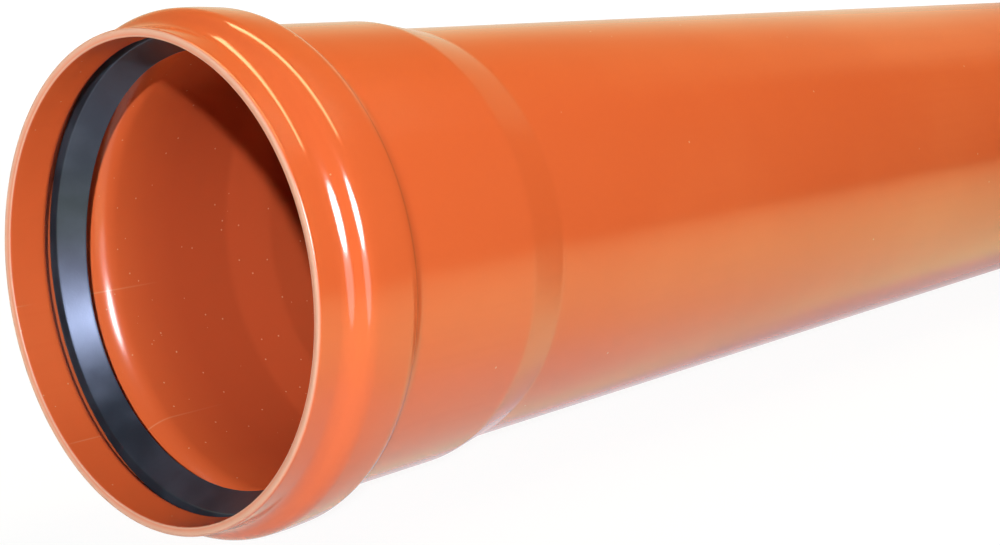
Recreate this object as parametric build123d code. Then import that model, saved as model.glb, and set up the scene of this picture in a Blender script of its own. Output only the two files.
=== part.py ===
from build123d import *
from math import asin, atan2, cos, degrees, hypot, radians, sin, tan
import os

# A length of rigid PVC drain pipe with a formed push-fit socket, and the rubber lip seal in its groove.
# Lengths are millimetres. A station is a distance along the pipe's axis from the mouth of the socket.

# Barrel
OUTSIDE_RADIUS = 80.0
BARREL_WALL = 3.2
LAYING_LENGTH = 1000.0

# Socket
SOCKET_CLEARANCE = 0.4
SOCKET_WALL = 3.0
SOCKET_DEPTH = 100.0
SHOULDER_LENGTH = 20.0

# Mouth lip, in front of the groove
MOUTH_CLEARANCE = 1.0
MOUTH_WALL = 3.2
RIM_ROUNDING = 0.6

# Seal groove, which shows outside as a raised bead
GROOVE_DEPTH = 6.6
GROOVE_TAPER = 0.2
GROOVE_START = 18.2
GROOVE_WIDTH = 17.0
GROOVE_WALL = 3.0
FRONT_SLOPE = 52.0
GROOVE_REAR_SLOPE = 36.0
BEAD_REAR_SLOPE = 48.0
CROWN_RISE = 0.3
CROWN_FROM_CREST = 7.8

# Rounding of the socket's corners
CREST_ROUNDING = 4.5
CREST_FOOT_ROUNDING = 4.5
CROWN_ROUNDING = 90.0
REAR_ROUNDING = 4.0
REAR_FOOT_ROUNDING = 3.0
SHOULDER_ROUNDING = 55.0

# Most of a straight run that the rounding at one of its ends may take
ROUNDING_SHARE = 0.45

# Spigot end
CHAMFER_ANGLE = 15.0
CHAMFER_LENGTH = 7.0

# Seal ring
SEAL_CLEARANCE = 0.3
SEAL_SETBACK = 2.0
SEAL_BODY_LENGTH = 13.3
SEAL_BODY_DEPTH = 3.4
SEAL_FACE_HEIGHT = 6.0
SEAL_LIP_REACH = 10.4
SEAL_LIP_BITE = 4.0
SEAL_LIP_WALL = 1.9
SEAL_ROOT_DEPTH = 5.4
SEAL_TIP_LENGTH = 0.6

# What follows from those sizes
bore_radius = OUTSIDE_RADIUS - BARREL_WALL
socket_bore = OUTSIDE_RADIUS + SOCKET_CLEARANCE
socket_outside = socket_bore + SOCKET_WALL
mouth_bore = OUTSIDE_RADIUS + MOUTH_CLEARANCE
mouth_outside = mouth_bore + MOUTH_WALL
groove_front_radius = socket_bore + GROOVE_DEPTH
groove_rear_radius = groove_front_radius - GROOVE_TAPER
groove_end = GROOVE_START + GROOVE_WIDTH
shoulder_end = SOCKET_DEPTH + SHOULDER_LENGTH
total_length = SOCKET_DEPTH + LAYING_LENGTH
chamfer_start = total_length - CHAMFER_LENGTH
chamfer_height = CHAMFER_LENGTH * tan(radians(CHAMFER_ANGLE))
seal_front = GROOVE_START + SEAL_SETBACK
seal_rear = seal_front + SEAL_BODY_LENGTH


def corner_shift(wall, angle):
    """How far along the axis a bend moves between the inside and the outside of a wall."""
    return wall * tan(radians(angle) / 2)


# Inside and outside of the socket, from the mouth to the barrel, as station and radius
front_run = (groove_front_radius - mouth_bore) / tan(radians(FRONT_SLOPE))
rear_run = (groove_rear_radius - socket_bore) / tan(radians(GROOVE_REAR_SLOPE))
bead_rear_run = (groove_rear_radius + GROOVE_WALL - socket_outside) / tan(radians(BEAD_REAR_SLOPE))
shoulder_angle = degrees(atan2(socket_outside - OUTSIDE_RADIUS, SHOULDER_LENGTH))

inner_foot = (GROOVE_START - front_run, mouth_bore)
inner_crest = (GROOVE_START, groove_front_radius)
inner_rear = (groove_end, groove_rear_radius)
inner_rear_foot = (groove_end + rear_run, socket_bore)
inner_shoulder = (SOCKET_DEPTH - corner_shift(SOCKET_WALL, shoulder_angle), socket_bore)
inner_shoulder_foot = (shoulder_end - corner_shift(BARREL_WALL, shoulder_angle), bore_radius)

outer_foot = (inner_foot[0] - corner_shift(MOUTH_WALL, FRONT_SLOPE), mouth_outside)
outer_crest = (GROOVE_START - corner_shift(GROOVE_WALL, FRONT_SLOPE), groove_front_radius + GROOVE_WALL)
outer_crown = (outer_crest[0] + CROWN_FROM_CREST, outer_crest[1] + CROWN_RISE)
outer_rear = (groove_end + corner_shift(GROOVE_WALL, BEAD_REAR_SLOPE), groove_rear_radius + GROOVE_WALL)
outer_rear_foot = (outer_rear[0] + bead_rear_run, socket_outside)
outer_shoulder = (SOCKET_DEPTH, socket_outside)
outer_shoulder_foot = (shoulder_end, OUTSIDE_RADIUS)


def fitted_rounding(before, corner, after, rounding):
    """Rounding of a corner, held to what the straight runs beside it leave room for."""
    to_before = Vector(*before) - Vector(*corner)
    to_after = Vector(*after) - Vector(*corner)
    turn = 180 - to_before.get_angle(to_after)
    room = ROUNDING_SHARE * min(to_before.length, to_after.length)
    return min(rounding, room / tan(radians(turn) / 2))


def revolved(corners):
    """Solid turned about the pipe's axis from corners, each a point and the rounding wanted there."""
    points = [point for point, rounding in corners]
    radii = []
    for index, (point, rounding) in enumerate(corners):
        after = points[(index + 1) % len(points)]
        radii.append(fitted_rounding(points[index - 1], point, after, rounding))
    profile = make_face(FilletPolyline(*points, radius=radii, close=True))
    return revolve(profile, axis=Axis.X)


def pipe():
    """Barrel, shoulder, socket, seal groove and mouth lip, formed from one tube."""
    return revolved(
        [
            ((0, mouth_bore), RIM_ROUNDING),
            (inner_foot, CREST_FOOT_ROUNDING + MOUTH_WALL),
            (inner_crest, 0),
            (inner_rear, 0),
            (inner_rear_foot, REAR_FOOT_ROUNDING + SOCKET_WALL),
            (inner_shoulder, SHOULDER_ROUNDING),
            (inner_shoulder_foot, SHOULDER_ROUNDING),
            ((total_length, bore_radius), 0),
            ((total_length, OUTSIDE_RADIUS - chamfer_height), 0),
            ((chamfer_start, OUTSIDE_RADIUS), 0),
            (outer_shoulder_foot, SHOULDER_ROUNDING),
            (outer_shoulder, SHOULDER_ROUNDING),
            (outer_rear_foot, REAR_FOOT_ROUNDING),
            (outer_rear, REAR_ROUNDING),
            (outer_crown, CROWN_ROUNDING),
            (outer_crest, CREST_ROUNDING),
            (outer_foot, CREST_FOOT_ROUNDING),
            ((0, mouth_outside), RIM_ROUNDING),
        ]
    )


def seat_radius(station):
    """Outside radius of the seal where it lies against the floor of the groove."""
    share = (station - GROOVE_START) / GROOVE_WIDTH
    return groove_front_radius - GROOVE_TAPER * share - SEAL_CLEARANCE


def seal_ring():
    """Rubber ring with a solid body in the groove and a lip that leans inwards, away from the mouth."""
    face_radius = seat_radius(seal_front) - SEAL_FACE_HEIGHT
    body_radius = seat_radius(seal_rear) - SEAL_BODY_DEPTH
    lip_station = seal_front + SEAL_LIP_REACH
    lip_radius = OUTSIDE_RADIUS - SEAL_LIP_BITE
    return revolved(
        [
            ((seal_front, seat_radius(seal_front)), 0),
            ((seal_front, face_radius), 0),
            ((lip_station, lip_radius), 0),
            ((lip_station + SEAL_TIP_LENGTH, lip_radius + SEAL_LIP_WALL), 0),
            ((seal_front + SEAL_ROOT_DEPTH, body_radius), 0),
            ((seal_rear, body_radius), 0),
            ((seal_rear, seat_radius(seal_rear)), 0),
        ]
    )


def tilt_on(before, corner, after, rounding):
    """Lean of the axis with the pipe at rest on a rounded ring of its socket and on its spigot's edge."""
    to_before = (Vector(*before) - Vector(*corner)).normalized()
    to_after = (Vector(*after) - Vector(*corner)).normalized()
    half_angle = radians(to_before.get_angle(to_after)) / 2
    radius = fitted_rounding(before, corner, after, rounding)
    centre = Vector(*corner) + (to_before + to_after).normalized() * (radius / sin(half_angle))
    run = chamfer_start - centre.X
    rise = centre.Y - OUTSIDE_RADIUS
    return asin(radius / hypot(run, rise)) + atan2(rise, run)


# The pipe lies on the front, the crown or the rear of its bead, whichever makes its axis lean most
rest_tilt = max(
    tilt_on(outer_foot, outer_crest, outer_crown, CREST_ROUNDING),
    tilt_on(outer_crest, outer_crown, outer_rear, CROWN_ROUNDING),
    tilt_on(outer_crown, outer_rear, outer_rear_foot, REAR_ROUNDING),
)
mouth_height = chamfer_start * sin(rest_tilt) + OUTSIDE_RADIUS * cos(rest_tilt)
at_rest = Pos(0, 0, mouth_height) * Rot(0, degrees(rest_tilt), 0)
solids = {"pipe": at_rest * pipe(), "seal_ring": at_rest * seal_ring()}
box = solids["pipe"].bounding_box()
middle = (box.min.X + box.max.X) / 2

os.makedirs("parts", exist_ok=True)
for name, solid in solids.items():
    export_step(Pos(-middle, 0, 0) * solid, f"parts/{name}.step")


def on_axis(station):
    """Point of the pipe's axis at a station, in the part's own frame."""
    return (station * cos(rest_tilt) - middle, 0.0, mouth_height - station * sin(rest_tilt))


print("lean of the axis in degrees", degrees(rest_tilt))
print("mouth", on_axis(0), "spigot end", on_axis(total_length))
print("socket bore from station", inner_rear_foot[0], "to", inner_shoulder[0])
print("barrel bore from station", inner_shoulder_foot[0], "to", total_length)
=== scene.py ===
import logging
import math
from dataclasses import dataclass, field
from enum import Enum
from typing import Dict, List, Optional, Sequence, Tuple, Union

import bpy
import numpy as np
from mathutils import Matrix, Vector


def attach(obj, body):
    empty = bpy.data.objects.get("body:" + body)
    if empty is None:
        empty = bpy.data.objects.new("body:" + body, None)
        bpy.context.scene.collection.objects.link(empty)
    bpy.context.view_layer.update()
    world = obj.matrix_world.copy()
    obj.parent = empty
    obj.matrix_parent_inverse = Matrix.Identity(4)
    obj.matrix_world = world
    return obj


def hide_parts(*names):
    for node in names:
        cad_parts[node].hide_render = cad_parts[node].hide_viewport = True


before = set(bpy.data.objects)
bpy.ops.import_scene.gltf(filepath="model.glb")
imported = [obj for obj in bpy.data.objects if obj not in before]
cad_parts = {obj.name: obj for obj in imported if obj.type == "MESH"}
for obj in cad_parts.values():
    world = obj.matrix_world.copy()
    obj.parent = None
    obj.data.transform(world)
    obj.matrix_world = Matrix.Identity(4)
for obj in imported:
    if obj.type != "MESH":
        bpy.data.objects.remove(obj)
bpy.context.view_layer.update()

# A length of orange-brown drain pipe with a formed socket and a black lip seal, lying on a white floor.
# Lengths are metres. A station is a distance along the pipe's axis from the mouth of the socket, and a
# ring angle is measured round the axis from the top towards the near side, -Y.

log = logging.getLogger("pipe_scene")

Point = Tuple[float, float, float]
Colour = Tuple[float, float, float]
Stops = Tuple[Tuple[float, Colour], ...]
Socket = bpy.types.NodeSocket
Number = Union[float, Socket]
Inputs = Dict[Union[int, str], object]
Span = Tuple[float, float]
Waves = Tuple[Tuple[int, float, float], ...]

MM = 0.001
PHOTO_WIDTH = 1000
PHOTO_HEIGHT = 545
WHITE = (1.0, 1.0, 1.0)
BLACK = (0.0, 0.0, 0.0)


class Zone(Enum):
    """Parts of the pipe's surface that look different."""

    INSIDE = "zone_inside"
    # The deep inside's darker colour is partly the wall's own tone and partly painted shade of the bore.
    DEEP_INSIDE = "zone_deep_inside"
    CUT_EDGE = "zone_cut_edge"
    # Painted shade darkens the crease behind the bead and the groove's line inside.
    CREASE = "zone_painted_shade"


def unit(vectors: np.ndarray) -> np.ndarray:
    """Scales each vector, along an array's last axis, to length one."""
    return vectors / np.linalg.norm(vectors, axis=-1, keepdims=True)


def direction_to(azimuth: float, elevation: float) -> np.ndarray:
    """Unit vector towards a point of the sky.

    Args:
        azimuth: degrees from -Y towards +X.
        elevation: degrees above the horizon.

    Returns:
        The vector (sin a cos e, -cos a cos e, sin e).
    """
    a, e = math.radians(azimuth), math.radians(elevation)
    return np.array([math.sin(a) * math.cos(e), -math.cos(a) * math.cos(e), math.sin(e)])


@dataclass(frozen=True)
class PipeAxis:
    """Line through the middle of the pipe, which leans because the socket's bead lifts the mouth."""

    mouth: Point = (-0.549948548, 0.0, 0.0904632827)
    lean_degrees: float = 0.5486928531566685

    @property
    def along(self) -> np.ndarray:
        """Unit vector from the mouth to the spigot."""
        lean = math.radians(self.lean_degrees)
        return np.array([math.cos(lean), 0.0, -math.sin(lean)])

    @property
    def up(self) -> np.ndarray:
        """Unit vector square to the axis at ring angle 0."""
        lean = math.radians(self.lean_degrees)
        return np.array([math.sin(lean), 0.0, math.cos(lean)])

    @property
    def near(self) -> np.ndarray:
        """Unit vector square to the axis at ring angle 90 degrees."""
        return np.array([0.0, -1.0, 0.0])

    def turn(self, stations: np.ndarray, radii: np.ndarray, angles: np.ndarray) -> np.ndarray:
        """Points of a surface turned about the axis.

        Each point is mouth + station * along + radius * (cos(angle) * up + sin(angle) * near).

        Args:
            stations: distances along the axis, of any shape.
            radii: distances from the axis, of the same shape.
            angles: ring angles in radians, of the same shape.

        Returns:
            Array of that shape with three coordinates more.
        """
        outwards = np.cos(angles)[..., None] * self.up + np.sin(angles)[..., None] * self.near
        return np.array(self.mouth) + stations[..., None] * self.along + radii[..., None] * outwards


@dataclass(frozen=True)
class Corner:
    """One corner of a section, in mm, with its rounding and the steps of its arc and of the run after it.

    Its rounding may take no more than share of the shorter run beside it.
    """

    station: float
    radius: float
    rounding: float
    arc_steps: int = 8
    run_steps: int = 3
    share: float = 0.45


@dataclass(frozen=True)
class RoundedOutline:
    """Closed outline of straight runs with rounded corners."""

    corners: Tuple[Corner, ...]
    least_rounding: float = 1e-4

    def points(self) -> Tuple[np.ndarray, np.ndarray]:
        """Samples the outline.

        At each corner the arc has radius min(rounding, share * shorter run / tan(turn / 2)), and no less
        than least_rounding. It starts and ends radius * tan(turn / 2) from the corner, and its points are
        weighted means of the two vectors from its centre, with the weights sin((1 - t) * turn) and
        sin(t * turn) over sin(turn). Along each run the points crowd towards its ends as
        (1 - cos(pi t)) / 2.

        Returns:
            Array of (station, radius) in mm, in order round the outline, and for each point the number
            of the corner that it belongs to.
        """
        corner = np.array([(c.station, c.radius) for c in self.corners])
        to_before = np.roll(corner, 1, axis=0) - corner
        to_after = np.roll(corner, -1, axis=0) - corner
        lengths = np.minimum(np.linalg.norm(to_before, axis=1), np.linalg.norm(to_after, axis=1))
        u, v = unit(to_before), unit(to_after)
        turn = math.pi - np.arccos(np.clip((u * v).sum(axis=1), -1, 1))
        radius = np.array([c.rounding for c in self.corners])
        share = np.array([c.share for c in self.corners])
        radius = np.minimum(radius, share * lengths / np.tan(turn / 2))
        radius = np.maximum(radius, self.least_rounding)
        setback = (radius * np.tan(turn / 2))[:, None]
        starts, ends = corner + u * setback, corner + v * setback
        centre = corner + unit(u + v) * (radius / np.cos(turn / 2))[:, None]
        next_starts = np.roll(starts, -1, axis=0)
        pieces, numbers = [], []
        for k, this in enumerate(self.corners):
            t = np.linspace(0, 1, this.arc_steps)[:, None]
            to_start = (starts[k] - centre[k]) * np.sin((1 - t) * turn[k])
            to_end = (ends[k] - centre[k]) * np.sin(t * turn[k])
            arc = centre[k] + (to_start + to_end) / np.sin(turn[k])
            t = (1 - np.cos(math.pi * np.arange(1, this.run_steps + 1) / (this.run_steps + 1)))[:, None] / 2
            run = ends[k] + (next_starts[k] - ends[k]) * t
            pieces += [arc, run]
            numbers.append(np.full(this.arc_steps + this.run_steps, k))
        return np.concatenate(pieces), np.concatenate(numbers)


def waves(terms: Waves, angles: np.ndarray) -> np.ndarray:
    """Sum of share * sin(order * angle + phase) over terms of order, share and phase."""
    return sum(share * np.sin(order * angles + phase) for order, share, phase in terms)


def closed_grid_mesh(name: str, points: np.ndarray) -> bpy.types.Mesh:
    """Mesh of a grid of points that closes on itself both ways, like a ring's surface.

    Face (i, j) joins points (i, j), (i + 1, j), (i + 1, j + 1) and (i, j + 1), and both indices wrap.
    The faces are turned round as a whole where the volume inside them comes out negative.

    Args:
        name: the mesh's name.
        points: array of rows by columns by three coordinates.

    Returns:
        The mesh, shaded smooth.
    """
    rows, columns = points.shape[:2]
    index = np.arange(rows * columns).reshape(rows, columns)
    below, right = np.roll(index, -1, axis=0), np.roll(index, -1, axis=1)
    corner = np.roll(below, -1, axis=1)
    quads = np.stack([index, below, corner, right], axis=-1).reshape(-1, 4)
    flat = points.reshape(-1, 3)
    a, b, c, d = (flat[quads[:, k]] for k in range(4))
    volume = np.einsum("ij,ij->", a, np.cross(b, c)) + np.einsum("ij,ij->", a, np.cross(c, d))
    if volume < 0:
        quads = quads[:, ::-1]
    mesh = bpy.data.meshes.new(name)
    mesh.vertices.add(len(flat))
    mesh.vertices.foreach_set("co", flat.astype(np.float32).ravel())
    mesh.loops.add(quads.size)
    mesh.loops.foreach_set("vertex_index", quads.astype(np.int32).ravel())
    mesh.polygons.add(len(quads))
    mesh.polygons.foreach_set("loop_start", np.arange(0, quads.size, 4, dtype=np.int32))
    mesh.update(calc_edges=True)
    mesh.validate()
    mesh.polygons.foreach_set("use_smooth", np.ones(len(quads), bool))
    mesh.update()
    return mesh


def point_attribute(mesh: bpy.types.Mesh, name: str, values: np.ndarray) -> None:
    """Stores one number per vertex under a name that a material can read.

    Args:
        mesh: the mesh that gets the attribute.
        name: the attribute's name.
        values: one number per vertex.
    """
    layer = mesh.attributes.new(name, "FLOAT", "POINT")
    layer.data.foreach_set("value", values.astype(np.float32).ravel())


def show_piece(mesh: bpy.types.Mesh, material: bpy.types.Material) -> bpy.types.Object:
    """Puts a mesh into the scene as an object at the origin.

    Args:
        mesh: the finished mesh.
        material: what covers all of it.

    Returns:
        The new object, which has the mesh's name.
    """
    mesh.materials.append(material)
    piece = bpy.data.objects.new(mesh.name, mesh)
    bpy.context.scene.collection.objects.link(piece)
    log.info("%s with %d faces", mesh.name, len(mesh.polygons))
    return piece


class NodeSketch:
    """Short ways to add nodes to one node tree."""

    def __init__(self, tree: bpy.types.NodeTree) -> None:
        """Keeps the tree that the nodes go into."""
        self.tree = tree

    def add(self, kind: str, inputs: Optional[Inputs] = None, **settings: object) -> bpy.types.Node:
        """Adds a node.

        Args:
            kind: the node's type name.
            inputs: for each named or numbered input, a socket to link from or a plain value.
            settings: properties of the node itself.

        Returns:
            The new node.
        """
        node = self.tree.nodes.new(kind)
        for key, value in settings.items():
            setattr(node, key, value)
        for key, value in (inputs or {}).items():
            self.feed(node.inputs[key], value)
        return node

    def feed(self, socket: Socket, value: object) -> None:
        """Links an input to another node's output, or sets its own value.

        Args:
            socket: the input.
            value: the output to link from, or the plain value.
        """
        if isinstance(value, bpy.types.NodeSocket):
            self.tree.links.new(value, socket)
        else:
            socket.default_value = value

    def math(self, operation: str, *numbers: Number, clamp: bool = False) -> Socket:
        """Output of a Math node over one, two or three numbers."""
        inputs = dict(enumerate(numbers))
        return self.add("ShaderNodeMath", inputs, operation=operation, use_clamp=clamp).outputs[0]

    def ramp(self, value: Number, low: float, high: float, start: float = 0.0, end: float = 1.0) -> Socket:
        """Output of a smooth-stepped Map Range from low..high to start..end."""
        inputs = {"Value": value, "From Min": low, "From Max": high, "To Min": start, "To Max": end}
        return self.add("ShaderNodeMapRange", inputs, interpolation_type="SMOOTHSTEP").outputs["Result"]

    def colour_ramp(self, value: Number, stops: Stops) -> Socket:
        """Colour that runs evenly between stops.

        Args:
            value: what goes into the ramp, from -1 to 1.
            stops: values from -1 to 1 in rising order, each with its colour.

        Returns:
            The ramp's colour.
        """
        node = self.add("ShaderNodeValToRGB", {0: self.math("MULTIPLY_ADD", value, 0.5, 0.5)})
        elements = node.color_ramp.elements
        while len(elements) < len(stops):
            elements.new(1.0)
        for element, (place, colour) in zip(elements, stops):
            element.position = (place + 1.0) / 2.0
            element.color = rgba(colour)
        return node.outputs[0]

    def mix(self, share: Number, first: object, second: object, blend: str = "MIX") -> Socket:
        """Output of a colour Mix node, whose colour sockets are the inputs 6 and 7 and the output 2."""
        settings = {"data_type": "RGBA", "blend_type": blend, "clamp_factor": True}
        return self.add("ShaderNodeMix", {0: share, 6: first, 7: second}, **settings).outputs[2]

    def noise(self, vector: Socket, scale: float, detail: float = 2.0) -> Socket:
        """Grey output of a Noise Texture."""
        inputs = {"Vector": vector, "Scale": scale, "Detail": detail, "Roughness": 0.5}
        return self.add("ShaderNodeTexNoise", inputs).outputs["Fac"]

    def attribute(self, name: str) -> Socket:
        """Number that the mesh stores under a name."""
        return self.add("ShaderNodeAttribute", attribute_name=name, attribute_type="GEOMETRY").outputs["Fac"]

    def group(self, tree: bpy.types.NodeTree, inputs: Optional[Inputs] = None) -> Socket:
        """Output of a node group."""
        return self.add("ShaderNodeGroup", inputs, node_tree=tree).outputs[0]


def rgba(colour: Colour) -> Tuple[float, float, float, float]:
    """Adds the fourth component that colour sockets want."""
    return (*colour, 1.0)


def grey(value: float) -> Tuple[float, float, float, float]:
    """Grey colour that carries a plain number through a colour Mix node."""
    return (value, value, value, 1.0)


def blank_material(name: str) -> Tuple[bpy.types.Material, NodeSketch]:
    """Makes a material without nodes.

    Args:
        name: the material's name.

    Returns:
        The material, and the sketch that its nodes are added with.
    """
    material = bpy.data.materials.new(name)
    material.use_nodes = True
    material.node_tree.nodes.clear()
    return material, NodeSketch(material.node_tree)


class EffectGroups:
    """Node groups for the effects that the finishes share or place more than once."""

    def __init__(self, axis: PipeAxis) -> None:
        """Builds every group.

        Args:
            axis: the pipe's axis, about which the patterns are centred.
        """
        self.axis = axis
        self.frame = self._pipe_frame()
        self.specks = self._specks()
        self.lengthwise = self._lengthwise()

    @staticmethod
    def _new(name: str, numbers: Sequence[str], output: Tuple[str, str]) -> bpy.types.NodeTree:
        """Makes an empty group with its sockets.

        Args:
            name: the group's name.
            numbers: name of each plain number that it takes. With any of them it takes a Vector too.
            output: name and socket type of its output.

        Returns:
            The group's tree.
        """
        group = bpy.data.node_groups.new(name, "ShaderNodeTree")
        if numbers:
            group.interface.new_socket("Vector", in_out="INPUT", socket_type="NodeSocketVector")
        for label in numbers:
            group.interface.new_socket(label, in_out="INPUT", socket_type="NodeSocketFloat")
        label, kind = output
        group.interface.new_socket(label, in_out="OUTPUT", socket_type=kind)
        return group

    def _pipe_frame(self) -> bpy.types.NodeTree:
        """Group that turns Object coordinates into coordinates along and square to the pipe's axis.

        Returns:
            The group's tree.
        """
        group = self._new("pipe_frame", [], ("Along", "NodeSocketVector"))
        sketch = NodeSketch(group)
        place = sketch.add("ShaderNodeTexCoord").outputs["Object"]
        lean = math.radians(self.axis.lean_degrees)
        start = np.array(self.axis.mouth)
        turned = np.array([start @ self.axis.along, start[1], start @ self.axis.up])
        inputs = {"Vector": place, "Location": tuple(-turned), "Rotation": (0.0, -lean, 0.0)}
        mapping = sketch.add("ShaderNodeMapping", inputs)
        sketch.add("NodeGroupOutput", {"Along": mapping.outputs[0]})
        return group

    def _specks(self) -> bpy.types.NodeTree:
        """Group that scatters small dots: one round the point of each chosen cell of a cell pattern.

        Returns:
            The group's tree.
        """
        group = self._new("specks", ["Scale", "Share", "Size"], ("Mask", "NodeSocketFloat"))
        sketch = NodeSketch(group)
        given = sketch.add("NodeGroupInput").outputs
        cells = sketch.add("ShaderNodeTexVoronoi", {"Vector": given["Vector"], "Scale": given["Scale"]})
        dot = sketch.math("LESS_THAN", cells.outputs["Distance"], given["Size"])
        chance = sketch.add("ShaderNodeSeparateColor", {0: cells.outputs["Color"]}).outputs[0]
        chosen = sketch.math("LESS_THAN", chance, given["Share"])
        sketch.add("NodeGroupOutput", {"Mask": sketch.math("MULTIPLY", dot, chosen)})
        return group

    def _lengthwise(self) -> bpy.types.NodeTree:
        """Group of the faint lines that a die draws along a tube: noise stretched along the axis.

        Returns:
            The group's tree.
        """
        group = self._new("lengthwise_lines", ["Scale"], ("Height", "NodeSocketFloat"))
        sketch = NodeSketch(group)
        given = sketch.add("NodeGroupInput").outputs
        stretched = sketch.add("ShaderNodeMapping", {"Vector": given["Vector"], "Scale": (0.02, 1.0, 1.0)})
        inputs = {"Vector": stretched.outputs[0], "Scale": given["Scale"], "Detail": 2.0, "Roughness": 0.55}
        lines = sketch.add("ShaderNodeTexNoise", inputs)
        sketch.add("NodeGroupOutput", {"Height": lines.outputs["Fac"]})
        return group


@dataclass(frozen=True)
class Dots:
    """Small dots: how fine their cells are, the share of cells with a dot, and its radius in a cell."""

    scale: float
    share: float
    size: float

    def place(self, sketch: NodeSketch, groups: EffectGroups, place: Socket) -> Socket:
        """Mask that is 1 on the dots."""
        inputs = {"Vector": place, "Scale": self.scale, "Share": self.share, "Size": self.size}
        return sketch.group(groups.specks, inputs)


@dataclass(frozen=True)
class PipeFinish:
    """Orange-brown rigid plastic, glossy from the die outside, duller inside, pale where it is sawn."""

    colour: Colour = (0.80, 0.144, 0.040)
    deep_colour: Colour = (0.77, 0.128, 0.034)
    # Deep in the bore: partly the wall's own darker tone, partly painted shade of the dim bore.
    inside_tone_and_shade_colour: Colour = (0.55, 0.080, 0.025)
    # Painted shade in the crease behind the bead and in the groove's line inside.
    painted_shade_colour: Colour = (0.34, 0.060, 0.020)
    cut_colour: Colour = (0.78, 0.40, 0.28)
    speck_colour: Colour = (0.80, 0.45, 0.25)
    cloud_scale: float = 9.0
    cloud_span: Span = (0.35, 0.65)
    line_scale: float = 420.0
    line_span: Span = (0.45, 0.75)
    line_tint: float = 0.25
    seam_angles: Tuple[float, float] = (-104.0, -143.0)
    seam_width: float = 0.006
    seam_strength: float = 0.3
    seam_break_scale: float = 30.0
    seam_break_span: Span = (0.45, 0.6)
    specks: Dots = Dots(150.0, 0.06, 0.07)
    grit: Dots = Dots(260.0, 0.45, 0.09)
    speck_strength: float = 0.6
    # How strongly the painted shade darkens the crease and the groove's line.
    painted_shade_strength: float = 0.75
    roughness: float = 0.115
    inside_roughness: float = 0.22
    cut_roughness: float = 0.6
    crease_roughness: float = 0.6
    uneven_span: Span = (0.3, 0.7)
    unevenness: Span = (-0.01, 0.02)
    refraction: float = 1.53
    grain_scale: float = 900.0
    grain_height: float = 0.12
    line_height: float = 0.5
    bump_strength: float = 0.04
    bump_distance: float = 0.0002

    def _seams(self, sketch: NodeSketch, place: Socket) -> Socket:
        """Mask of the faint lines that the die's bridges leave inside, at fixed ring angles.

        Each mask is 1 at its line and 0 from seam_width radians away. Noise breaks the lines up.

        Args:
            sketch: the tree that gets the nodes.
            place: coordinates along and square to the pipe's axis.

        Returns:
            The largest mask, times the noise.
        """
        parts = sketch.add("ShaderNodeSeparateXYZ", {0: place}).outputs
        angle = sketch.math("ARCTAN2", sketch.math("MULTIPLY", parts[1], -1.0), parts[2])
        total = None
        for degrees in self.seam_angles:
            away = sketch.math("ABSOLUTE", sketch.math("SUBTRACT", angle, math.radians(degrees)))
            line = sketch.ramp(away, 0.0, self.seam_width, 1.0, 0.0)
            total = line if total is None else sketch.math("MAXIMUM", total, line)
        broken = sketch.ramp(sketch.noise(place, self.seam_break_scale), *self.seam_break_span)
        return sketch.math("MULTIPLY", total, broken)

    def _shade(
        self, sketch: NodeSketch, place: Socket, masks: Dict[Zone, Socket], marks: Dict[str, Socket]
    ) -> Socket:
        """Colour of the plastic, from the ground colour up to the marks and the painted shade on top of it.

        Args:
            sketch: the tree that gets the nodes.
            place: coordinates along and square to the pipe's axis.
            masks: how far each zone reaches.
            marks: the cloud, the lines, the specks and the grit, by name.

        Returns:
            The colour.
        """
        cloudy = sketch.ramp(marks["cloud"], *self.cloud_span)
        colour = sketch.mix(cloudy, rgba(self.colour), rgba(self.deep_colour))
        tint = sketch.ramp(marks["lines"], *self.line_span, 0.0, self.line_tint)
        colour = sketch.mix(tint, colour, rgba(self.deep_colour))
        # Deeper in the bore the colour turns to inside_tone_and_shade_colour: partly the wall's own darker
        # tone, partly painted shade.
        colour = sketch.mix(masks[Zone.DEEP_INSIDE], colour, rgba(self.inside_tone_and_shade_colour))
        shallow = sketch.math("SUBTRACT", masks[Zone.INSIDE], masks[Zone.DEEP_INSIDE])
        shallow = sketch.math("MULTIPLY", shallow, self.seam_strength)
        seam = sketch.math("MULTIPLY", self._seams(sketch, place), shallow)
        colour = sketch.mix(seam, colour, rgba(self.speck_colour))
        grit = sketch.math("MULTIPLY", marks["grit"], masks[Zone.INSIDE])
        dots = sketch.math("MAXIMUM", marks["specks"], grit)
        dots = sketch.math("MULTIPLY", dots, self.speck_strength)
        colour = sketch.mix(dots, colour, rgba(self.speck_colour))
        # Painted shade: the crease behind the bead and the groove's line inside are darkened towards
        # painted_shade_colour.
        dark = sketch.math("MULTIPLY", masks[Zone.CREASE], self.painted_shade_strength)
        colour = sketch.mix(dark, colour, rgba(self.painted_shade_colour))
        return sketch.mix(masks[Zone.CUT_EDGE], colour, rgba(self.cut_colour))

    def _dullness(self, sketch: NodeSketch, masks: Dict[Zone, Socket], cloud: Socket) -> Socket:
        """Roughness of the plastic.

        Args:
            sketch: the tree that gets the nodes.
            masks: how far each zone reaches.
            cloud: slow noise that varies the roughness a little.

        Returns:
            The roughness.
        """
        duller = self.inside_roughness - self.roughness
        rough = sketch.math("MULTIPLY_ADD", masks[Zone.INSIDE], duller, self.roughness)
        rough = sketch.math("ADD", rough, sketch.ramp(cloud, *self.uneven_span, *self.unevenness))
        rough = sketch.mix(masks[Zone.CREASE], rough, grey(self.crease_roughness))
        return sketch.mix(masks[Zone.CUT_EDGE], rough, grey(self.cut_roughness))

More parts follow.
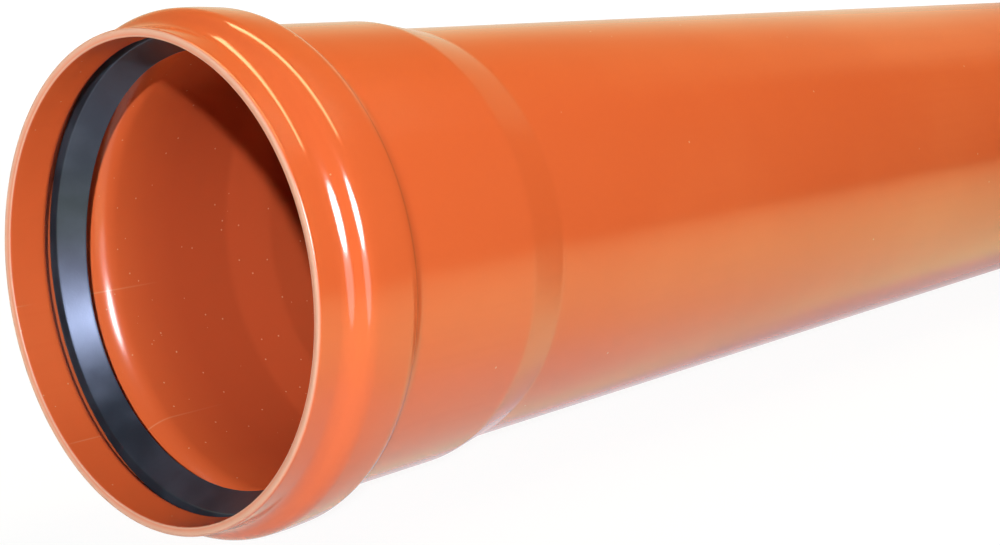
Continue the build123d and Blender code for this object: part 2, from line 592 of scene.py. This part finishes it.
    def material(self, groups: EffectGroups) -> bpy.types.Material:
        """Builds the material.

        Args:
            groups: the shared effects.

        Returns:
            The pipe's material.
        """
        material, sketch = blank_material("pipe_plastic")
        place = sketch.group(groups.frame)
        masks = {zone: sketch.attribute(zone.value) for zone in Zone}
        marks = {
            "cloud": sketch.noise(place, self.cloud_scale, 3.0),
            "lines": sketch.group(groups.lengthwise, {"Vector": place, "Scale": self.line_scale}),
            "specks": self.specks.place(sketch, groups, place),
            "grit": self.grit.place(sketch, groups, place),
        }
        grain = sketch.math("MULTIPLY", sketch.noise(place, self.grain_scale), self.grain_height)
        height = sketch.math("MULTIPLY", marks["lines"], self.line_height)
        height = sketch.math("ADD", height, grain)
        inputs = {"Strength": self.bump_strength, "Distance": self.bump_distance, "Height": height}
        bump = sketch.add("ShaderNodeBump", inputs)
        inputs = {
            "Base Color": self._shade(sketch, place, masks, marks),
            "Roughness": self._dullness(sketch, masks, marks["cloud"]),
            "Normal": bump.outputs[0],
            "IOR": self.refraction,
        }
        shader = sketch.add("ShaderNodeBsdfPrincipled", inputs)
        sketch.add("ShaderNodeOutputMaterial", {"Surface": shader.outputs[0]})
        return material


@dataclass(frozen=True)
class RubberFinish:
    """Black moulded rubber with a satin skin."""

    colour: Colour = (0.018, 0.022, 0.030)
    dusty_colour: Colour = (0.040, 0.047, 0.062)
    shine: Colour = (0.62, 0.70, 1.0)
    cloud_scale: float = 60.0
    cloud_span: Span = (0.35, 0.75)
    roughness: float = 0.335
    uneven_span: Span = (0.3, 0.7)
    unevenness: Span = (-0.04, 0.05)
    refraction: float = 1.67
    grain_scale: float = 1500.0
    bump_strength: float = 0.15
    bump_distance: float = 0.0001

    def material(self, groups: EffectGroups) -> bpy.types.Material:
        """Builds the material.

        Args:
            groups: the shared effects.

        Returns:
            The seal's material.
        """
        material, sketch = blank_material("seal_rubber")
        place = sketch.group(groups.frame)
        cloud = sketch.noise(place, self.cloud_scale, 4.0)
        dusty = sketch.ramp(cloud, *self.cloud_span)
        uneven = sketch.ramp(cloud, *self.uneven_span, *self.unevenness)
        grain = sketch.noise(place, self.grain_scale, 3.0)
        inputs = {"Strength": self.bump_strength, "Distance": self.bump_distance, "Height": grain}
        bump = sketch.add("ShaderNodeBump", inputs)
        inputs = {
            "Base Color": sketch.mix(dusty, rgba(self.colour), rgba(self.dusty_colour)),
            "Roughness": sketch.math("ADD", uneven, self.roughness),
            "Normal": bump.outputs[0],
            "IOR": self.refraction,
            "Specular Tint": rgba(self.shine),
        }
        shader = sketch.add("ShaderNodeBsdfPrincipled", inputs)
        sketch.add("ShaderNodeOutputMaterial", {"Surface": shader.outputs[0]})
        return material


@dataclass
class DrainPipe:
    """Barrel, shoulder, socket, seal groove and mouth lip, as one wall. Lengths are mm."""

    outside_radius: float = 80.0
    barrel_wall: float = 3.2
    laying_length: float = 1000.0
    socket_clearance: float = 0.4
    socket_wall: float = 3.0
    socket_depth: float = 100.0
    shoulder_length: float = 20.0
    mouth_clearance: float = 1.0
    mouth_wall: float = 3.2
    groove_depth: float = 6.6
    groove_taper: float = 0.2
    groove_start: float = 18.2
    groove_width: float = 17.0
    groove_wall: float = 3.0
    front_slope: float = 52.0
    groove_rear_slope: float = 50.0
    groove_rear_shift: float = 0.7
    groove_front_shift: float = 2.7
    bead_rear_slope: float = 48.0
    crown_rise: float = 0.3
    crown_from_crest: float = 7.8
    rim_rounding: float = 1.0
    rim_hollow: float = 0.9
    rim_inner_rounding: float = 0.5
    front_rounding: float = 7.0
    foot_shift: float = 0.4
    crown_rounding: float = 90.0
    inner_front_rounding: float = 3.0
    groove_rounding: float = 1.5
    inner_rear_rounding: float = 12.0
    rear_rounding: float = 8.5
    rear_foot_rounding: float = 8.5
    shoulder_rounding: float = 18.0
    chamfer_angle: float = 15.0
    chamfer_length: float = 7.0
    chamfer_rounding: float = 0.8
    spigot_edge: float = 0.25
    lip_flare: float = 0.3
    flare_length: float = 12.0
    flare_rise: float = 5.8
    flare_end: float = 30.0
    waist_depth: float = 0.2
    waist_station: float = 133.0
    waist_reach: float = 11.0
    cut_inside: float = 1.3
    cut_outside: float = 0.9
    cut_blend: float = 0.5
    spigot_cut_blend: float = 0.2
    # Where painted shade darkens the crease behind the bead's rear and the groove's line inside.
    crease_shade_setback: float = 1.2
    crease_shade_reach: float = 4.0
    crease_shade_share: float = 0.3
    groove_shade_station: float = 20.4
    groove_shade_reach: float = 1.5
    # Over deep_from to deep_to the bore darkens: partly its own tone, partly painted shade.
    deep_from: float = 38.0
    deep_to: float = 66.0
    segments: int = 448
    finish: PipeFinish = field(default_factory=PipeFinish)

    @staticmethod
    def shift(wall: float, angle: float) -> float:
        """How far along the axis a bend moves between the inside and the outside of a wall."""
        return wall * math.tan(math.radians(angle) / 2)

    @staticmethod
    def slope(angle: float) -> float:
        """Rise per length of a run that leans by an angle in degrees."""
        return math.tan(math.radians(angle))

    @property
    def length(self) -> float:
        """Length of the whole pipe."""
        return self.socket_depth + self.laying_length

    @property
    def mouth_outside(self) -> float:
        """Outside radius of the mouth lip before it flares."""
        return self.outside_radius + self.mouth_clearance + self.mouth_wall

    @property
    def socket_bore(self) -> float:
        """Inside radius of the socket."""
        return self.outside_radius + self.socket_clearance

    @property
    def socket_outside(self) -> float:
        """Outside radius of the socket."""
        return self.socket_bore + self.socket_wall

    @property
    def bead_rear(self) -> Tuple[float, float]:
        """Station and radius of the rear corner of the bead."""
        station = self.groove_start + self.groove_width + self.shift(self.groove_wall, self.bead_rear_slope)
        return station, self.socket_bore + self.groove_depth - self.groove_taper + self.groove_wall

    @property
    def bead_rear_foot(self) -> float:
        """Station where the bead's rear meets the outside of the socket."""
        station, radius = self.bead_rear
        return station + (radius - self.socket_outside) / self.slope(self.bead_rear_slope)

    def corners(self) -> Tuple[List[Corner], List[Corner]]:
        """Corners of the bore from the mouth to the spigot, and of the outside from there back.

        Returns:
            The bore's corners and the outside's corners.
        """
        mouth_bore = self.outside_radius + self.mouth_clearance
        bore = self.outside_radius - self.barrel_wall
        groove_front = self.socket_bore + self.groove_depth
        groove_rear = groove_front - self.groove_taper
        groove_end = self.groove_start + self.groove_width
        shoulder_end = self.socket_depth + self.shoulder_length
        rise = self.socket_outside - self.outside_radius
        lean = math.degrees(math.atan2(rise, self.shoulder_length))
        foot = self.groove_start - (groove_front - mouth_bore) / self.slope(self.front_slope)
        outer_foot = foot - self.shift(self.mouth_wall, self.front_slope) - self.foot_shift
        inner_rear = groove_end + self.groove_rear_shift
        rear_foot = inner_rear + (groove_rear - self.socket_bore) / self.slope(self.groove_rear_slope)
        crest = self.groove_start - self.shift(self.groove_wall, self.front_slope)
        crest_radius = groove_front + self.groove_wall
        crown = crest + self.crown_from_crest
        inner_shoulder = self.socket_depth - self.shift(self.socket_wall, lean)
        inner_shoulder_end = shoulder_end - self.shift(self.barrel_wall, lean)
        chamfer_start = self.length - self.chamfer_length
        tip_radius = self.outside_radius - self.chamfer_length * self.slope(self.chamfer_angle)
        inside = [
            Corner(self.rim_hollow, mouth_bore, self.rim_inner_rounding, 5, 5),
            Corner(foot + self.groove_front_shift, mouth_bore, self.inner_front_rounding, 9),
            Corner(self.groove_start, groove_front, self.groove_rounding, 5),
            Corner(inner_rear, groove_rear, self.groove_rounding, 5, 2),
            Corner(rear_foot, self.socket_bore, self.inner_rear_rounding, 14, 5, 0.75),
            Corner(inner_shoulder, self.socket_bore, self.shoulder_rounding),
            Corner(inner_shoulder_end, bore, self.shoulder_rounding, 8, 5),
            Corner(self.length, bore, self.spigot_edge, 4, 2),
        ]
        outside = [
            Corner(self.length, tip_radius, self.spigot_edge, 4, 2),
            Corner(chamfer_start, self.outside_radius, self.chamfer_rounding, 4, 9),
            Corner(shoulder_end, self.outside_radius, self.shoulder_rounding, 10, 4),
            Corner(self.socket_depth, self.socket_outside, self.shoulder_rounding, 8, 13),
            Corner(self.bead_rear_foot, self.socket_outside, self.rear_foot_rounding, 10, 1, 0.49),
            Corner(*self.bead_rear, self.rear_rounding, 10, 3, 0.49),
            Corner(crown, crest_radius + self.crown_rise, self.crown_rounding, 6, 2),
            Corner(crest, crest_radius, self.front_rounding, 14, 2, 0.48),
            Corner(outer_foot, self.mouth_outside, self.front_rounding, 14, 6, 0.48),
            Corner(0.0, self.mouth_outside, self.rim_rounding, 7, 2),
        ]
        return inside, outside

    def section(self) -> Tuple[np.ndarray, np.ndarray, np.ndarray]:
        """Section of the wall with what forming leaves on its outside.

        The lip flares by lip_flare * (station / flare_length)^3, at most lip_flare, and that fades to
        nothing where the radius has risen by flare_rise. Behind the shoulder the radius is less by
        waist_depth * exp(-u^2), where u is the distance from waist_station over waist_reach.

        Returns:
            Stations, radii, and for each point whether it is inside.
        """
        inside_corners, outside_corners = self.corners()
        points, numbers = RoundedOutline(tuple(inside_corners + outside_corners)).points()
        stations, radii = points[:, 0], points[:, 1]
        inside = numbers < len(inside_corners)
        flare = self.lip_flare * np.clip(stations / self.flare_length, 0, 1) ** 3
        flare = flare * (1 - np.clip((radii - self.mouth_outside) / self.flare_rise, 0, 1))
        flare = np.where(stations < self.flare_end, flare, 0.0)
        waist = self.waist_depth * np.exp(-(((stations - self.waist_station) / self.waist_reach) ** 2))
        return stations, radii + np.where(inside, 0.0, flare - waist), inside

    def zones(self, stations: np.ndarray, inside: np.ndarray) -> Dict[Zone, np.ndarray]:
        """How far each point of the section belongs to each zone, from 0 to 1.

        The cut edge grows over cut_blend from nothing at cut_inside, or at cut_outside on the outside, and
        at the spigot over spigot_cut_blend. The crease's painted shade outside is crease_shade_share *
        exp(-u^2), where u is the distance from crease_shade_setback before the foot of the bead's rear over
        crease_shade_reach.
        The painted shade of the groove's dark line inside is exp(-u^2), where u is the distance from
        groove_shade_station over groove_shade_reach.

        Args:
            stations: distances along the axis.
            inside: for each point whether it is inside.

        Returns:
            For each zone one number per point.
        """
        edge = np.where(inside, self.cut_inside, self.cut_outside)
        cut = np.clip((edge - stations) / self.cut_blend, 0, 1)
        cut = cut + np.clip((stations - self.length + self.spigot_edge) / self.spigot_cut_blend, 0, 1)
        deep = np.clip((stations - self.deep_from) / (self.deep_to - self.deep_from), 0, 1)
        from_crease = stations - self.bead_rear_foot + self.crease_shade_setback
        # Painted shade: the crease outside, and the groove's dark line inside.
        outer_shade = np.exp(-((from_crease / self.crease_shade_reach) ** 2))
        inner_shade = np.exp(-(((stations - self.groove_shade_station) / self.groove_shade_reach) ** 2))
        return {
            Zone.INSIDE: inside.astype(float),
            Zone.DEEP_INSIDE: np.where(inside, deep, 0.0),
            Zone.CUT_EDGE: np.clip(cut, 0, 1),
            Zone.CREASE: np.where(inside, inner_shade, self.crease_shade_share * outer_shade),
        }

    def build(self, axis: PipeAxis, groups: EffectGroups) -> None:
        """Makes the pipe, which stands for the CAD's pipe.

        Args:
            axis: where the pipe lies.
            groups: the shared effects for its finish.
        """
        stations, radii, inside = self.section()
        angles = np.linspace(0, 2 * math.pi, self.segments, endpoint=False)
        station_grid, angle_grid = np.meshgrid(stations, angles, indexing="ij")
        radius_grid = np.broadcast_to(radii[:, None], station_grid.shape)
        points = axis.turn(station_grid * MM, radius_grid * MM, angle_grid)
        mesh = closed_grid_mesh("pipe_wall", points)
        for zone, shares in self.zones(stations, inside).items():
            point_attribute(mesh, zone.value, np.repeat(shares, self.segments))
        piece = show_piece(mesh, self.finish.material(groups))
        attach(piece, "root")
        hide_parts("pipe")


@dataclass
class LipSeal:
    """Rubber ring with a solid body in the groove and a lip that leans inwards. Lengths are mm."""

    groove_start: float = 18.2
    groove_width: float = 17.0
    groove_radius: float = 87.0
    groove_taper: float = 0.2
    clearance: float = 0.3
    setback: float = 2.0
    body_length: float = 13.3
    body_depth: float = 3.4
    lip_reach: float = 9.3
    lip_radius: float = 76.0
    lip_wall: float = 1.9
    root_depth: float = 5.4
    cone_radius: float = 81.6
    face_lean: float = 0.5
    front_rounding: float = 1.9
    cone_lean: float = 31.5
    cone_rounding: float = 0.7
    sleeve_rounding: float = 2.0
    sleeve_rise: float = 0.1
    tip_rounding: float = 0.5
    tip_rear_rounding: float = 0.9
    root_rounding: float = 1.2
    rounding: float = 0.6
    waver: float = 0.22
    sway: Waves = ((2, 1.0, 0.7), (3, 0.7, 2.1), (5, 0.4, 4.0))
    lift: Waves = ((2, 1.0, 2.9), (4, 0.6, 1.3))
    free_radius: float = 81.5
    free_depth: float = 5.5
    segments: int = 384
    finish: RubberFinish = field(default_factory=RubberFinish)

    def seat(self, station: float) -> float:
        """Outside radius of the seal where it lies against the floor of the groove."""
        share = (station - self.groove_start) / self.groove_width
        return self.groove_radius - self.groove_taper * share - self.clearance

    def outline(self) -> RoundedOutline:
        """Outline of the ring's section, whose lip is a cone that ends in a short sleeve.

        Returns:
            The outline.
        """
        front = self.groove_start + self.setback
        rear = front + self.body_length
        body = self.seat(rear) - self.body_depth
        tip = front + self.lip_reach
        cone = front + self.face_lean
        sleeve = cone + (self.cone_radius - self.lip_radius) / math.tan(math.radians(self.cone_lean))
        corners = (
            Corner(front, self.seat(front), self.front_rounding, 8, 3),
            Corner(cone, self.cone_radius, self.cone_rounding, 6, 6),
            Corner(sleeve, self.lip_radius, self.sleeve_rounding, 8, 2),
            Corner(tip, self.lip_radius + self.sleeve_rise, self.tip_rounding, 5, 1),
            Corner(tip + self.rounding, self.lip_radius + self.lip_wall, self.tip_rear_rounding, 8, 4),
            Corner(front + self.root_depth, body, self.root_rounding, 6, 3),
            Corner(rear, body, self.rounding, 5, 2),
            Corner(rear, self.seat(rear), self.rounding, 5, 4),
        )
        return RoundedOutline(corners)

    def build(self, axis: PipeAxis, groups: EffectGroups) -> None:
        """Makes the seal, which stands for the CAD's seal.

        Its free lip isn't quite true: its radius moves by waver times the waves of sway, its station by
        waver times those of lift. That grows evenly from nothing at free_radius to all of it at
        free_depth less.

        Args:
            axis: where the pipe lies.
            groups: the shared effects for its finish.
        """
        outline, _ = self.outline().points()
        angles = np.linspace(0, 2 * math.pi, self.segments, endpoint=False)
        stations, turned = np.meshgrid(outline[:, 0], angles, indexing="ij")
        radii = np.broadcast_to(outline[:, 1][:, None], stations.shape)
        free = self.waver * np.clip((self.free_radius - radii) / self.free_depth, 0, 1)
        radii = radii + free * waves(self.sway, turned)
        stations = stations + free * waves(self.lift, turned)
        mesh = closed_grid_mesh("lip_seal", axis.turn(stations * MM, radii * MM, turned))
        piece = show_piece(mesh, self.finish.material(groups))
        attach(piece, "root")
        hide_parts("seal_ring")


@dataclass(frozen=True)
class Lamp:
    """A flat soft lamp that faces the socket from one part of the sky.

    A lamp may only light (reflects off) or only show in glossy surfaces (lights off). Its roll turns it
    about its own axis, in degrees.
    """

    name: str
    azimuth: float
    elevation: float
    distance: float
    width: float
    height: float
    radiance: float
    colour: Colour
    shape: str = "RECTANGLE"
    lights: bool = True
    reflects: bool = True
    roll: float = 0.0

    def build(self, target: np.ndarray) -> None:
        """Puts up the lamp.

        Its power is radiance * pi * width * height, times pi / 4 where it is an ellipse, which is what
        gives a flat lamp that radiance.

        Args:
            target: the point that it faces.
        """
        data = bpy.data.lights.new(self.name, "AREA")
        data.shape = self.shape
        data.size, data.size_y = self.width, self.height
        data.energy = self.radiance * math.pi * self.width * self.height
        if self.shape == "ELLIPSE":
            data.energy *= math.pi / 4
        data.color = self.colour
        lamp = bpy.data.objects.new(self.name, data)
        bpy.context.scene.collection.objects.link(lamp)
        away = direction_to(self.azimuth, self.elevation)
        facing = Vector(away).to_track_quat("Z", "Y").to_matrix().to_4x4()
        turned = facing @ Matrix.Rotation(math.radians(self.roll), 4, "Z")
        lamp.matrix_world = Matrix.Translation(Vector(target + away * self.distance)) @ turned
        lamp.visible_camera = False
        lamp.visible_diffuse = self.lights
        lamp.visible_glossy = self.reflects


@dataclass(frozen=True)
class Studio:
    """White floor, white surroundings and soft lamps."""

    floor_radius: float = 12.0
    floor_sides: int = 96
    floor_colour: Colour = (0.60, 0.60, 0.60)
    floor_white: float = 1.10
    floor_white_near: float = 0.85
    floor_white_span: Span = (0.7, 1.6)
    floor_seen: Stops = (
        (-1.0, (0.90, 0.90, 0.90)),
        (-0.65, (0.95, 0.98, 0.88)),
        (-0.55, (1.00, 1.05, 0.72)),
        (-0.42, (1.10, 1.25, 0.70)),
        (-0.30, (1.10, 1.28, 0.64)),
        (-0.21, (1.05, 1.12, 0.55)),
        (-0.15, (0.95, 0.92, 0.43)),
        (-0.10, (0.75, 0.62, 0.28)),
        (-0.04, BLACK),
    )
    # Floor seen beyond the pipe: the darker middle stops are a painted reflection of the pipe's own shadow
    # on the floor.
    floor_behind_with_shadow_seen: Stops = (
        (0.0, (0.92, 0.82, 0.70)),
        (0.12, (0.78, 0.70, 0.66)),
        (0.28, (0.72, 0.63, 0.64)),
        (0.50, (0.92, 0.86, 0.90)),
    )
    backdrop_seen: Stops = (
        (-0.12, BLACK),
        (-0.06, (0.78, 0.80, 0.66)),
        (0.0, (0.78, 0.80, 0.66)),
        (0.20, (0.72, 0.78, 0.50)),
        (0.30, (0.66, 0.66, 0.38)),
        (0.38, (0.56, 0.54, 0.28)),
        (0.43, (0.48, 0.40, 0.20)),
        (0.50, (0.34, 0.27, 0.12)),
        (0.57, (0.25, 0.18, 0.08)),
        (0.65, (0.15, 0.08, 0.03)),
        (0.75, BLACK),
    )
    room_seen: Colour = (0.02, 0.02, 0.02)
    endwise_seen: Colour = (0.34, 0.07, 0.024)
    backdrop_span: Span = (-0.17, 0.02)
    horizon_span: Span = (-0.12, -0.04)
    steep_span: Span = (-0.62, -0.50)
    beyond_span: Span = (0.0, 0.15)
    endwise_span: Span = (0.88, 0.95)
    endwise_share: float = 0.9
    target: Point = (-0.5, 0.0, 0.09)
    lamps: Tuple[Lamp, ...] = (
        Lamp("key_light", -43.5, 18.5, 2.0, 0.06, 0.06, 3440.0, (0.95, 1.06, 1.12), reflects=False),
        Lamp("key_softbox", -21.0, 25.0, 2.0, 0.80, 0.92, 42.0, (0.94, 1.0, 1.08), "ELLIPSE", lights=False),
        Lamp("ceiling_light", 105.0, 54.0, 1.93, 2.53, 0.07, 68.0, (1.03, 1.0, 0.60), reflects=False),
        Lamp("key_halo", -21.0, 3.0, 2.0, 0.95, 1.3, 3.5, (1.0, 0.92, 1.0), "ELLIPSE", lights=False),
        Lamp("ceiling_strip", 91.0, 71.5, 1.93, 2.3, 0.44, 10.0, (1.0, 0.86, 0.42), lights=False, roll=21.0),
    )

    def build(self) -> None:
        """Makes the floor, the world and the lamps, which all face the target."""
        self._floor()
        self._world()
        for lamp in self.lamps:
            lamp.build(np.array(self.target))

    def _floor(self) -> None:
        """Flat disc under the pipe that takes its shadow near it and turns plain white away from it."""
        mesh = bpy.data.meshes.new("floor")
        angles = np.linspace(0, 2 * math.pi, self.floor_sides, endpoint=False)
        ring = self.floor_radius * np.stack([np.cos(angles), np.sin(angles), 0 * angles], axis=1)
        mesh.from_pydata(ring.tolist(), [], [list(range(len(ring)))])
        material, sketch = blank_material("floor_white")
        plain = sketch.add("ShaderNodeBsdfDiffuse", {"Color": rgba(self.floor_colour)})
        white = sketch.add("ShaderNodeEmission", {"Color": rgba(WHITE), "Strength": self.floor_white})
        place = sketch.add("ShaderNodeTexCoord").outputs["Object"]
        away = sketch.add("ShaderNodeVectorMath", {0: place}, operation="LENGTH").outputs["Value"]
        path = sketch.add("ShaderNodeLightPath").outputs
        seen = sketch.math("ADD", path["Is Camera Ray"], path["Is Glossy Ray"], clamp=True)
        seen = sketch.math("ADD", seen, path["Is Transmission Ray"], clamp=True)
        whiter = sketch.ramp(away, *self.floor_white_span, self.floor_white_near, 1.0)
        share = sketch.math("MULTIPLY", seen, whiter)
        mixed = sketch.add("ShaderNodeMixShader", {0: share, 1: plain.outputs[0], 2: white.outputs[0]})
        sketch.add("ShaderNodeOutputMaterial", {"Surface": mixed.outputs[0]})
        floor = show_piece(mesh, material)
        floor.visible_glossy = False

    def _world(self) -> None:
        """White to the camera. To the object, a bright floor, a backdrop towards +Y and a dark room.

        The floor's and the backdrop's colours go by the sine of the elevation, z. Over backdrop_span the
        room gives way to the backdrop as the direction's y rises. Over beyond_span the floor's colour
        changes from one by z to one by y, apart from the steep directions below steep_span, and that
        second colour ends over horizon_span. Reflections along X, which the bore would carry from one end
        to the other, turn to the dim red of the bore itself over endwise_span.
        """
        world = bpy.data.worlds.new("studio")
        bpy.context.scene.world = world
        world.use_nodes = True
        world.node_tree.nodes.clear()
        sketch = NodeSketch(world.node_tree)
        towards = sketch.add("ShaderNodeTexCoord").outputs["Generated"]
        parts = sketch.add("ShaderNodeSeparateXYZ", {0: towards}).outputs
        behind = sketch.ramp(parts[1], *self.backdrop_span)
        backdrop = sketch.colour_ramp(parts[2], self.backdrop_seen)
        around = sketch.mix(behind, rgba(self.room_seen), backdrop)
        floor = sketch.colour_ramp(parts[2], self.floor_seen)
        # Painted reflection of the pipe's shadow on the floor beyond it, by y.
        beyond = sketch.colour_ramp(parts[1], self.floor_behind_with_shadow_seen)
        beyond = sketch.mix(sketch.ramp(parts[2], *self.horizon_span), beyond, rgba(BLACK))
        shallow = sketch.ramp(parts[2], *self.steep_span)
        share = sketch.math("MULTIPLY", sketch.ramp(parts[1], *self.beyond_span), shallow)
        floor = sketch.mix(share, floor, beyond)
        colour = sketch.mix(1.0, around, floor, "ADD")
        path = sketch.add("ShaderNodeLightPath").outputs
        endwise = sketch.math("ABSOLUTE", parts[0])
        endwise = sketch.ramp(endwise, *self.endwise_span, 0.0, self.endwise_share)
        endwise = sketch.math("MULTIPLY", endwise, path["Is Glossy Ray"])
        colour = sketch.mix(endwise, colour, rgba(self.endwise_seen))
        colour = sketch.mix(path["Is Camera Ray"], colour, rgba(WHITE))
        background = sketch.add("ShaderNodeBackground", {"Color": colour, "Strength": 1.0})
        sketch.add("ShaderNodeOutputWorld", {"Surface": background.outputs[0]})


@dataclass(frozen=True)
class PhotoCamera:
    """Camera at the photograph's place."""

    place: Point = (-0.87088257, -0.43784962, 0.20258692)
    forward: Point = (0.74285161, 0.6536454, -0.1446346)
    right: Point = (0.66059143, -0.7507456, 0.0)
    focal_pixels: float = 1645.8513
    middle_row: float = 180.0
    sensor_width: float = 36.0
    nearest: float = 0.01

    def build(self) -> None:
        """Makes it the scene's camera.

        The shift puts the lens's own middle on the photograph's row for it, as a share of the width.
        """
        data = bpy.data.cameras.new("photo_camera")
        data.sensor_fit = "HORIZONTAL"
        data.sensor_width = self.sensor_width
        data.lens = self.sensor_width * self.focal_pixels / PHOTO_WIDTH
        data.shift_y = (self.middle_row - PHOTO_HEIGHT / 2) / PHOTO_WIDTH
        data.clip_start = self.nearest
        camera = bpy.data.objects.new("photo_camera", data)
        bpy.context.scene.collection.objects.link(camera)
        forward, right = Vector(self.forward).normalized(), Vector(self.right).normalized()
        up = right.cross(forward)
        turned = Matrix((right, up, -forward)).transposed().to_4x4()
        camera.matrix_world = Matrix.Translation(Vector(self.place)) @ turned
        bpy.context.scene.camera = camera


def main() -> None:
    """Builds the camera, the pipe, its seal and the studio."""
    logging.basicConfig(level=logging.INFO, format="%(message)s")
    bpy.context.scene.view_settings.view_transform = "Standard"
    PhotoCamera().build()
    axis = PipeAxis()
    groups = EffectGroups(axis)
    DrainPipe().build(axis, groups)
    LipSeal().build(axis, groups)
    Studio().build()


if __name__ == "__main__":
    main()
